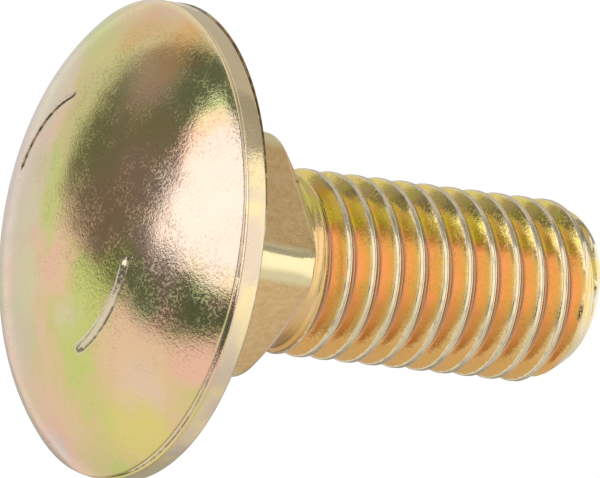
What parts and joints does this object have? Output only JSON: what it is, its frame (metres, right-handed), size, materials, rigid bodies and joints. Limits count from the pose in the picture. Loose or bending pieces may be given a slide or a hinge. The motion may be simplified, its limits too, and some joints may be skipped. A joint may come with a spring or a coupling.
{
  "type": "carriage bolt",
  "caption": "Short steel carriage bolt: low domed round head, square neck with rounded corners, and a coarse right-hand thread almost up to the neck, in yellow zinc plating.",
  "frame": {"origin": "centre of the flat end face of the thread, which the bolt stands on", "axes": "+Z along the bolt's axis, up towards the crown of the head; X and Y are square to the flats of the neck"},
  "size_m": [0.03, 0.03, 0.0369],
  "materials": {
    "yellow_zinc": "semi-bright zinc plating with an iridescent yellow passivate, over cold-forged and thread-rolled steel"
  },
  "bodies": {
    "root": {"bolt": "yellow_zinc"}
  },
  "joints": []
}
